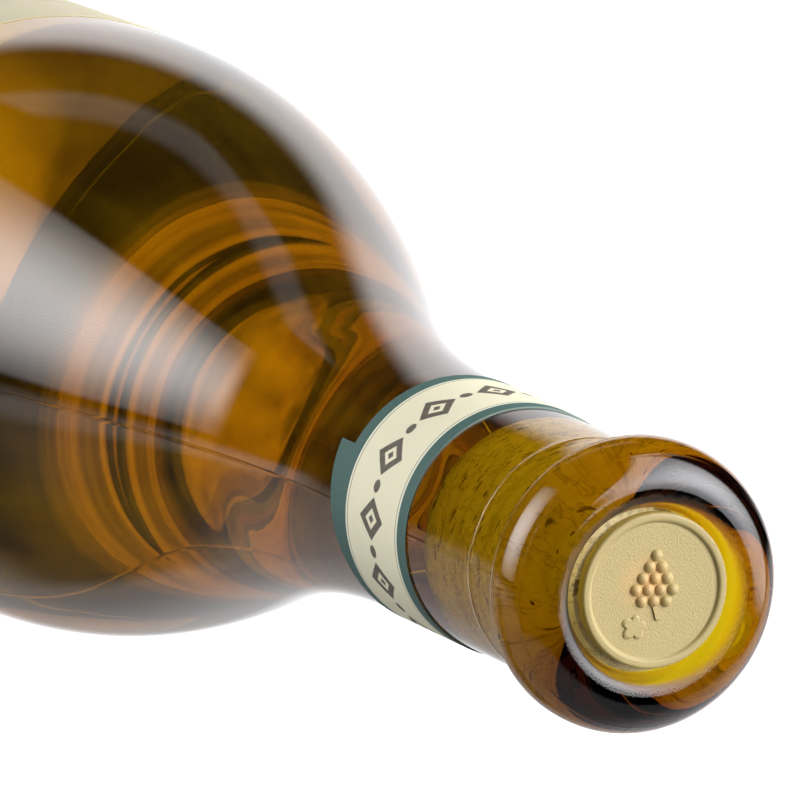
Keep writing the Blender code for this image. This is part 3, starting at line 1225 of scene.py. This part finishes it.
@dataclass
class Seal:
    """The round seal in the mouth, with a bunch of grapes in low relief."""

    bottle: Bottle
    radius: float = 0.00885
    top_depth: float = 0.0007
    thickness: float = 0.0016
    edge: float = 0.0003
    ring_radius: float = 0.0083
    field_radius: float = 0.0078
    field_drop: float = 0.00035
    shift: float = 0.00056
    shift_angle: float = math.radians(-155.5)
    berry_radius: float = 0.00078
    berry_pitch: float = 0.00150
    berry_rows: tuple[int, ...] = (3, 4, 3, 2, 1)
    berry_sink: float = 0.00048
    top_row: float = 0.0012
    rise: float = 0.00020
    root: float = 0.00020
    leaf_centre: Point = (0.0021, 0.0040)
    leaf_radii: Point = (0.00136, 0.0013)
    leaf_lobes: int = 5
    leaf_lobe_depth: float = 0.28
    leaf_tip: float = math.radians(48)
    leaf_lean: float = 0.18
    leaf_steps: int = 90
    stalk: tuple[float, float, float, float] = (0.0017, 0.0017, 0.0005, 0.0006)
    columns: int = 144

    def offset(self) -> Vector:
        """Return how far the seal sits off the bottle's axis."""
        return Vector((math.cos(self.shift_angle), math.sin(self.shift_angle), 0.0)) * self.shift

    def disc_line(self) -> list[Point]:
        """Return the disc's line, from the middle of its face to that of its back."""
        top = self.bottle.height - self.top_depth
        field = top - self.field_drop
        slope = bezier(
            (
                (self.field_radius - 0.00012, field),
                (self.field_radius + 0.00002, field),
                (self.field_radius + 0.00004, top),
                (self.ring_radius - 0.0001, top),
            ),
            8,
        )
        outer = arc(
            (self.radius - self.edge, top - self.edge), (self.edge, self.edge), math.pi / 2, 0.0, 6
        )
        low = top - self.thickness
        back = [(self.radius, low + self.edge), (self.radius - self.edge, low), (0.0, low)]
        return straight((0.0, field), (self.field_radius - 0.0002, field), 10) + slope + outer + back

    def berry_points(self) -> bpy.types.Mesh:
        """Return the middles of the grapes, in rows that end in a point."""
        field = self.bottle.height - self.top_depth - self.field_drop
        height = field + self.rise - self.berry_sink
        points = []
        for row, count in enumerate(self.berry_rows):
            for place in range(count):
                across = (place - (count - 1) / 2) * self.berry_pitch
                points.append((across, self.top_row - row * self.berry_pitch * math.sqrt(3) / 2, height))
        mesh = bpy.data.meshes.new("berry_points")
        mesh.from_pydata([Vector(point) + self.offset() for point in points], [], [])
        return mesh

    def leaf_outline(self) -> list[Point]:
        """Return the lobed outline of the leaf."""
        outline = []
        for step in range(self.leaf_steps):
            angle = 2 * math.pi * step / self.leaf_steps
            lobe = abs(math.cos(self.leaf_lobes * (angle - self.leaf_tip) / 2))
            lean = 1 + self.leaf_lean * math.cos(angle - self.leaf_tip)
            reach = (1 - self.leaf_lobe_depth + 1.4 * self.leaf_lobe_depth * lobe) * lean
            x = self.leaf_centre[0] + self.leaf_radii[0] * reach * math.cos(angle)
            outline.append((x, self.leaf_centre[1] + self.leaf_radii[1] * reach * math.sin(angle)))
        return outline

    def stalk_outline(self) -> list[Point]:
        """Return the leaning stalk's outline."""
        foot, length, width, lean = self.stalk
        half = width / 2
        return [(-half, foot), (half, foot), (half - lean, foot + length), (-half - lean, foot + length)]

    def sprig(self, finish: bpy.types.Material) -> bpy.types.Object:
        """Return the leaf and the stalk with bevelled rims.

        Args:
            finish: Their material.

        Returns:
            The piece.
        """
        field = self.bottle.height - self.top_depth - self.field_drop
        levels = ((field - self.root, 1.06), (field + self.rise * 0.55, 1.0), (field + self.rise, 0.84))
        work = bmesh.new()
        for outline in (self.leaf_outline(), self.stalk_outline()):
            middle = Vector((sum(p[0] for p in outline), sum(p[1] for p in outline))) / len(outline)
            rings = []
            for height, scale in levels:
                ring = []
                for x, y in outline:
                    spot = middle + (Vector((x, y)) - middle) * scale
                    ring.append(work.verts.new(Vector((spot.x, spot.y, height)) + self.offset()))
                rings.append(ring)
            count = len(outline)
            for lower, upper in zip(rings, rings[1:]):
                for index in range(count):
                    after = (index + 1) % count
                    work.faces.new((lower[index], lower[after], upper[after], upper[index]))
            work.faces.new(list(reversed(rings[0])))
            work.faces.new(rings[-1])
        bmesh.ops.recalc_face_normals(work, faces=work.faces)
        mesh = bpy.data.meshes.new("seal_sprig")
        work.to_mesh(mesh)
        work.free()
        mesh.materials.append(finish)
        item = placed("seal_sprig", mesh)
        return item

    def build(self, lathe: Lathe) -> None:
        """Make the disc, the grapes and the sprig.

        Args:
            lathe: The lathe.
        """
        finish = LacquerFinish().build()
        disc = lathe.turn("seal_face", self.disc_line(), finish, self.columns, math.radians(30))
        disc.data.transform(Matrix.Translation(self.offset()))
        keep(disc, Slot.SEAL, "seal_disc")
        values = {"Berry Radius": self.berry_radius, "Finish": finish}
        keep(make_berry_cluster().run("seal_grapes", self.berry_points(), values), Slot.SEAL)
        keep(self.sprig(finish), Slot.SEAL)


@dataclass
class NeckBand:
    """The paper strip round the neck, its end hanging a little lower."""

    bottle: Bottle
    top_depth: float = 0.0359
    bottom_depth: float = 0.0556
    tail_start: float = math.radians(-28)
    tail_sweep: float = math.radians(64)
    tail_drop: float = 0.0038
    bite: float = 0.00004
    paper: float = 0.00020
    lozenges: int = 12
    columns: int = 256
    rows: int = 10
    end_sweep: float = math.radians(0.35)

    def lower_depth(self, angle: float) -> float:
        """Return the depth of the strip's lower edge at an angle."""
        sweep = (angle - self.tail_start) % (2 * math.pi)
        if sweep < self.tail_sweep:
            return self.bottom_depth + self.tail_drop * (1 - sweep / self.tail_sweep)
        return self.bottom_depth

    def build(self) -> None:
        """Make the strip."""
        width = self.bottom_depth - self.top_depth
        angles = [2 * math.pi * column / self.columns for column in range(self.columns)]
        start = self.tail_start % (2 * math.pi)
        angles += [start - self.end_sweep, start]
        angles.sort()
        work = bmesh.new()
        layer = work.loops.layers.uv.new("strip")
        rings = []
        for angle in angles:
            lower = self.lower_depth(angle)
            ring = []
            for lift in (self.paper, -self.bite):
                column = []
                for row in range(self.rows + 1):
                    depth = self.top_depth + (lower - self.top_depth) * row / self.rows
                    radius = self.bottle.outer_radius(self.bottle.height - depth) + lift
                    spot = (radius * math.cos(angle), radius * math.sin(angle), self.bottle.height - depth)
                    column.append((work.verts.new(spot), (depth - self.top_depth) / width))
                ring += column if lift > 0 else column[::-1]
            rings.append((angle, ring))
        girth = self.bottle.neck_radius / width
        for index, (angle, ring) in enumerate(rings):
            after_angle, after = rings[(index + 1) % len(rings)]
            turn = after_angle if after_angle > angle else after_angle + 2 * math.pi
            for side in range(len(ring)):
                other = (side + 1) % len(ring)
                face = work.faces.new((ring[side][0], ring[other][0], after[other][0], after[side][0]))
                face.smooth = True
                corners = (
                    (angle, ring[side][1]),
                    (angle, ring[other][1]),
                    (turn, after[other][1]),
                    (turn, after[side][1]),
                )
                for loop, (at, down) in zip(face.loops, corners):
                    loop[layer].uv = (at * girth, down)
        mesh = bpy.data.meshes.new("neck_strip")
        bmesh.ops.recalc_face_normals(work, faces=work.faces)
        work.to_mesh(mesh)
        work.free()
        mesh.set_sharp_from_angle(angle=math.radians(40))
        pitch = 2 * math.pi * girth / self.lozenges
        mesh.materials.append(BandPaperFinish(pitch=pitch).build())
        item = placed("neck_strip", mesh)
        face_outwards(mesh)
        keep(item, Slot.BAND, "neck_band")


@dataclass
class BodyLabel:
    """The paper label on the front of the body."""

    bottle: Bottle
    top: float = 0.1080
    height: float = 0.0820
    width: float = 0.0920
    corner: float = 0.0030
    bite: float = 0.00004
    paper: float = 0.00013
    columns: int = 120
    rows: int = 60

    def trim(self, side: float) -> float:
        """Return how much a column loses to the rounded corners.

        Args:
            side: The column's distance from the nearer upright edge.

        Returns:
            The loss, the same at its top and its bottom.
        """
        if side >= self.corner:
            return 0.0
        return self.corner - math.sqrt(max(0.0, self.corner ** 2 - (self.corner - side) ** 2))

    def build(self) -> None:
        """Make the label."""
        radius = self.bottle.body_radius
        half = self.width / 2 / radius
        work = bmesh.new()
        layer = work.loops.layers.uv.new("sheet")
        columns = []
        for step in range(self.columns + 1):
            spread = 0.5 - 0.5 * math.cos(math.pi * step / self.columns)
            across = self.width * spread
            angle = -half + across / radius - math.pi / 2
            loss = self.trim(min(across, self.width - across))
            column = []
            for lift in (self.paper, -self.bite):
                side = []
                for row in range(self.rows + 1):
                    up = loss + (self.height - 2 * loss) * row / self.rows
                    reach = radius + lift
                    spot = (reach * math.cos(angle), reach * math.sin(angle), self.top - self.height + up)
                    side.append((work.verts.new(spot), (across, up)))
                column += side if lift > 0 else side[::-1]
            columns.append(column)
        faces = []
        for first, second in zip(columns, columns[1:]):
            for side in range(len(first)):
                other = (side + 1) % len(first)
                faces.append((first[side], first[other], second[other], second[side]))
        faces += [columns[0][::-1], columns[-1]]
        for corners in faces:
            face = work.faces.new([corner[0] for corner in corners])
            face.smooth = True
            for loop, corner in zip(face.loops, corners):
                loop[layer].uv = corner[1]
        bmesh.ops.recalc_face_normals(work, faces=work.faces)
        mesh = bpy.data.meshes.new("front_label")
        work.to_mesh(mesh)
        work.free()
        mesh.set_sharp_from_angle(angle=math.radians(40))
        mesh.materials.append(LabelPaperFinish(width=self.width, height=self.height).build())
        item = placed("front_label", mesh)
        face_outwards(mesh)
        keep(item, Slot.LABEL, "body_label")


@dataclass(frozen=True)
class Softbox:
    """One soft-edged light panel of the painted sky, by its place in degrees."""

    azimuth: float
    elevation: float
    width: float
    height: float
    rim: float
    heart: float = 0.0
    heart_reach: float = 40.0
    soft: float = 2.5
    heart_lights: bool = True
    slant: float = 0.0
    matt: float = 0.0

    def mask(self, g: Graph, azimuth: Term, elevation: Term) -> tuple[Term, Term]:
        """Return where the panel is and how near its middle a direction is.

        A slant raises the panel's middle line for each degree of azimuth.

        Args:
            g: The sky's graph.
            azimuth: The direction's azimuth in degrees.
            elevation: Its elevation in degrees.

        Returns:
            1 inside the panel and 0 outside, and 1 at its middle fading to 0.
        """
        sideways = g.calc("WRAP", azimuth - self.azimuth, 180.0, -180.0)
        aside = g.calc("ABSOLUTE", sideways)
        above = g.calc("ABSOLUTE", elevation - self.elevation - sideways * self.slant)
        across = 1.0 - g.fade(aside, self.width / 2 - self.soft, self.width / 2 + self.soft)
        upright = 1.0 - g.fade(above, self.height / 2 - self.soft, self.height / 2 + self.soft)
        away = g.calc("SQRT", aside * aside + above * above)
        return across * upright, 1.0 - g.fade(away, 0.0, self.heart_reach)

    def glow(self, g: Graph, azimuth: Term, elevation: Term, gloss: Term) -> Term:
        """Return the panel's light in every direction.

        Args:
            g: The sky's graph.
            azimuth: The direction's azimuth in degrees.
            elevation: Its elevation in degrees.
            gloss: 1 for reflections and 0 for the light that falls on paper.

        Returns:
            The light, 0 outside the panel.
        """
        inside, middle = self.mask(g, azimuth, elevation)
        heart = middle * self.heart if self.heart_lights else middle * self.heart * gloss
        return inside * (heart + self.rim + (1.0 - gloss) * self.matt)


@dataclass
class Studio:
    """The pale floor, the painted sky and the camera."""

    lens: float = 292.5
    sensor: float = 36.0
    aim: tuple[float, float, float] = (-0.00315, -0.00761, 0.2226)
    distance: float = 0.79404
    azimuth: float = math.radians(67.40)
    elevation: float = math.radians(64.94)
    roll: float = math.radians(114.04)
    floor_half: float = 6.0
    table_up: tuple[float, float, float] = (0.0628, -0.998, 0.0)
    backdrop_edge: Point = (-0.88, -0.78)
    backdrop_fade: Point = (0.22, 0.45)
    backdrop: float = 1.25
    backdrop_dim: float = 0.62
    table: float = 0.42
    far_table: float = 0.75
    far_table_way: Point = (150.0, -15.0)
    far_table_fade: Point = (0.55, 1.0)
    near_fade: Point = (-10.0, 15.0)
    near_edges: Point = (0.10, 0.52)
    table_soft: float = 0.06
    rest: float = 0.012
    room_tint: Colour = (0.97, 0.97, 1.0)
    plain: float = 1.05
    through: float = 0.88
    through_tint: Colour = (1.0, 0.76, 0.42)
    far_tint: Colour = (0.85, 0.82, 0.74)
    far_tint_fade: Point = (0.0, 0.5)
    camera_side: Point = (-0.10, 0.50)
    camera_dim: float = 0.9
    # Painted shade in the light through the glass: its direction in degrees, its fade and its depth.
    through_shade_way: Point = (12.0, -33.0)
    through_shade_fade: Point = (0.80, 0.96)
    through_shade_dim: float = 0.3
    swirl_stretch: tuple[float, float, float] = (1.0, 1.0, 1.7)
    swirl_scale: float = 2.6
    swirl_detail: float = 1.6
    streak_fade: Point = (0.34, 0.66)
    streak_floor: float = 0.42
    streak_gain: float = 0.95
    panels: tuple[Softbox, ...] = (
        Softbox(-25.5, -23.5, 59.0, 43.0, 0.5, 8.4, 37.0, 1.5, matt=1.9),
        Softbox(-149.0, 40.0, 92.0, 66.0, 4.0, 9.0, 42.0, 4.0, heart_lights=False),
        Softbox(-97.0, -44.5, 34.0, 8.0, 0.36, soft=2.0, slant=-0.40),
        Softbox(14.0, -40.0, 10.0, 40.0, 0.5, soft=3.0),
    )
    bottle_shade: Softbox = Softbox(52.0, -41.0, 76.0, 15.0, 1.0, soft=5.0)
    shade_depth: float = 0.85

    def back(self) -> Vector:
        """Return the direction from the aim to the camera."""
        level = math.cos(self.elevation)
        return Vector(
            (
                math.sin(self.azimuth) * level,
                -math.cos(self.azimuth) * level,
                math.sin(self.elevation),
            )
        )

    @staticmethod
    def heading(azimuth: float, elevation: float) -> Vector:
        """Return the direction of an azimuth and an elevation in degrees."""
        turn, rise = math.radians(azimuth), math.radians(elevation)
        return Vector((math.cos(turn) * math.cos(rise), math.sin(turn) * math.cos(rise), math.sin(rise)))

    def make_camera(self) -> None:
        """Place the camera that the object is judged from."""
        data = bpy.data.cameras.new("camera")
        data.lens = self.lens
        data.sensor_width = self.sensor
        data.clip_start = 0.01
        data.clip_end = 100.0
        camera = placed("camera", data)
        back = self.back()
        camera.location = Vector(self.aim) + back * self.distance
        camera.rotation_mode = "QUATERNION"
        level = (-back).to_track_quat("-Z", "Y")
        camera.rotation_quaternion = level @ Quaternion((0.0, 0.0, 1.0), self.roll)
        bpy.context.scene.camera = camera

    def make_floor(self) -> None:
        """Lay the pale floor that the bottle stands on."""
        half = self.floor_half
        mesh = bpy.data.meshes.new("floor")
        mesh.from_pydata(
            [(-half, -half, 0.0), (half, -half, 0.0), (half, half, 0.0), (-half, half, 0.0)],
            [],
            [(0, 1, 2, 3)],
        )
        material, g = new_material("pale_floor")
        paint = g.node("ShaderNodeBsdfDiffuse", None, {"Color": (0.25, 0.25, 0.25, 1.0)})
        glow = g.node("ShaderNodeEmission", None, {"Color": (1.0, 1.0, 1.0, 1.0), "Strength": 0.95})
        both = g.node("ShaderNodeAddShader", None, {0: paint, 1: glow})
        g.node("ShaderNodeOutputMaterial", None, {"Surface": both})
        mesh.materials.append(material)
        floor = placed("floor", mesh)
        floor.location.z = -0.0002
        floor.visible_glossy = False
        floor.visible_transmission = False
        floor.visible_diffuse = False

    def room_light(self, g: Graph, way: Term, toward: Term, far: Term, gloss: Term) -> Term:
        """Return the light of the backdrop, the table and the lamps.

        Args:
            g: The sky's graph.
            way: The direction.
            toward: How far it points to the camera's side.
            far: 1 towards the far part of the table and 0 away from it.
            gloss: 1 for reflections and 0 for the light that falls on paper.

        Returns:
            The light.
        """
        x, y, z = g.split(way)
        azimuth = g.calc("DEGREES", g.calc("ARCTAN2", y, x))
        elevation = g.calc("DEGREES", g.calc("ARCSINE", z))
        downward = self.dot(g, way, -Vector(self.table_up))
        behind = 1.0 - g.fade(toward, *self.backdrop_edge)
        dimmed = 1.0 - g.fade(downward, *self.backdrop_fade) * self.backdrop_dim
        low, high = self.near_edges
        near_edge = g.fade(elevation, *self.near_fade) * (high - low) + low
        on_table = g.fade(downward - near_edge, -self.table_soft, self.table_soft)
        shade, _ = self.bottle_shade.mask(g, azimuth, elevation)
        table = on_table * (far * self.far_table + self.table) * (1.0 - shade * self.shade_depth)
        light = g.calc("MAXIMUM", behind * dimmed * self.backdrop, table) + self.rest
        for panel in self.panels:
            light = light + panel.glow(g, azimuth, elevation, gloss)
        return light

    def through_light(self, g: Graph, way: Term, toward: Term) -> Term:
        """Return the streaked light that a ray finds once it has left the glass, with a painted shade round
        one downward direction.

        Args:
            g: The sky's graph.
            way: The direction.
            toward: How far it points to the camera's side.

        Returns:
            The light.
        """
        swirl = g.noise(g.scaled(way, self.swirl_stretch), self.swirl_scale, self.swirl_detail, 0.5)
        # Painted shade: the light through the glass is darker round one downward direction, standing for
        # shade on the lit table.
        hollow = g.fade(self.dot(g, way, self.heading(*self.through_shade_way)), *self.through_shade_fade)
        streaks = g.fade(swirl, *self.streak_fade) * self.streak_gain + self.streak_floor
        sides = 1.0 - g.fade(toward, *self.camera_side) * self.camera_dim
        return streaks * (1.0 - hollow * self.through_shade_dim) * sides * self.through

    def make_sky(self) -> None:
        """Paint the sky: plain white to the camera, panels of light to the glass."""
        world = bpy.data.worlds.new("studio_sky")
        bpy.context.scene.world = world
        world.use_nodes = True
        g = Graph(world.node_tree)
        way = g.node("ShaderNodeTexCoord", None, None, "Generated")
        ray = g.node("ShaderNodeLightPath", None, None, "Is Camera Ray")
        toward = self.dot(g, way, self.back())
        far = g.fade(self.dot(g, way, self.heading(*self.far_table_way)), *self.far_table_fade)
        light = self.room_light(g, way, toward, far, 1.0 - ray.out("Is Diffuse Ray"))
        tint = g.mix(g.fade(far, *self.far_tint_fade), self.through_tint, self.far_tint)
        layers = []
        for colour, strength in (
            ((*self.room_tint, 1.0), light),
            (tint, self.through_light(g, way, toward)),
            ((1.0, 1.0, 1.0, 1.0), self.plain),
        ):
            layers.append(g.node("ShaderNodeBackground", None, {"Color": colour, "Strength": strength}))
        studio, past, plain = layers
        clear = ray.out("Is Transmission Ray") * (1.0 - g.calc("MINIMUM", ray.out("Diffuse Depth"), 1.0))
        around = g.node("ShaderNodeMixShader", None, {0: clear, 1: studio, 2: past})
        shown = g.node("ShaderNodeMixShader", None, {0: ray, 1: around, 2: plain})
        g.node("ShaderNodeOutputWorld", None, {"Surface": shown})

    @staticmethod
    def dot(g: Graph, way: Term, axis: Vector) -> Term:
        """Return how far a direction points along an axis.

        Args:
            g: The sky's graph.
            way: The direction.
            axis: The axis.

        Returns:
            Their dot product.
        """
        return g.node(
            "ShaderNodeVectorMath", {"operation": "DOT_PRODUCT"}, {0: way, 1: tuple(axis)}, "Value"
        )

    def build(self) -> None:
        """Make the camera, the floor and the sky."""
        self.make_camera()
        self.make_floor()
        self.make_sky()
        scene = bpy.context.scene
        scene.view_settings.view_transform = "Standard"
        scene.view_settings.look = "None"


def main() -> None:
    """Build the bottle from the glass inwards, then the studio."""
    logging.basicConfig(level=logging.INFO)
    lathe = Lathe(make_lathe())
    bottle = Bottle()
    bottle.build(lathe)
    Fill(bottle).build(lathe)
    Stopper(bottle).build(lathe)
    Seal(bottle).build(lathe)
    NeckBand(bottle).build()
    BodyLabel(bottle).build()
    Studio().build()


if __name__ == "__main__":
    main()
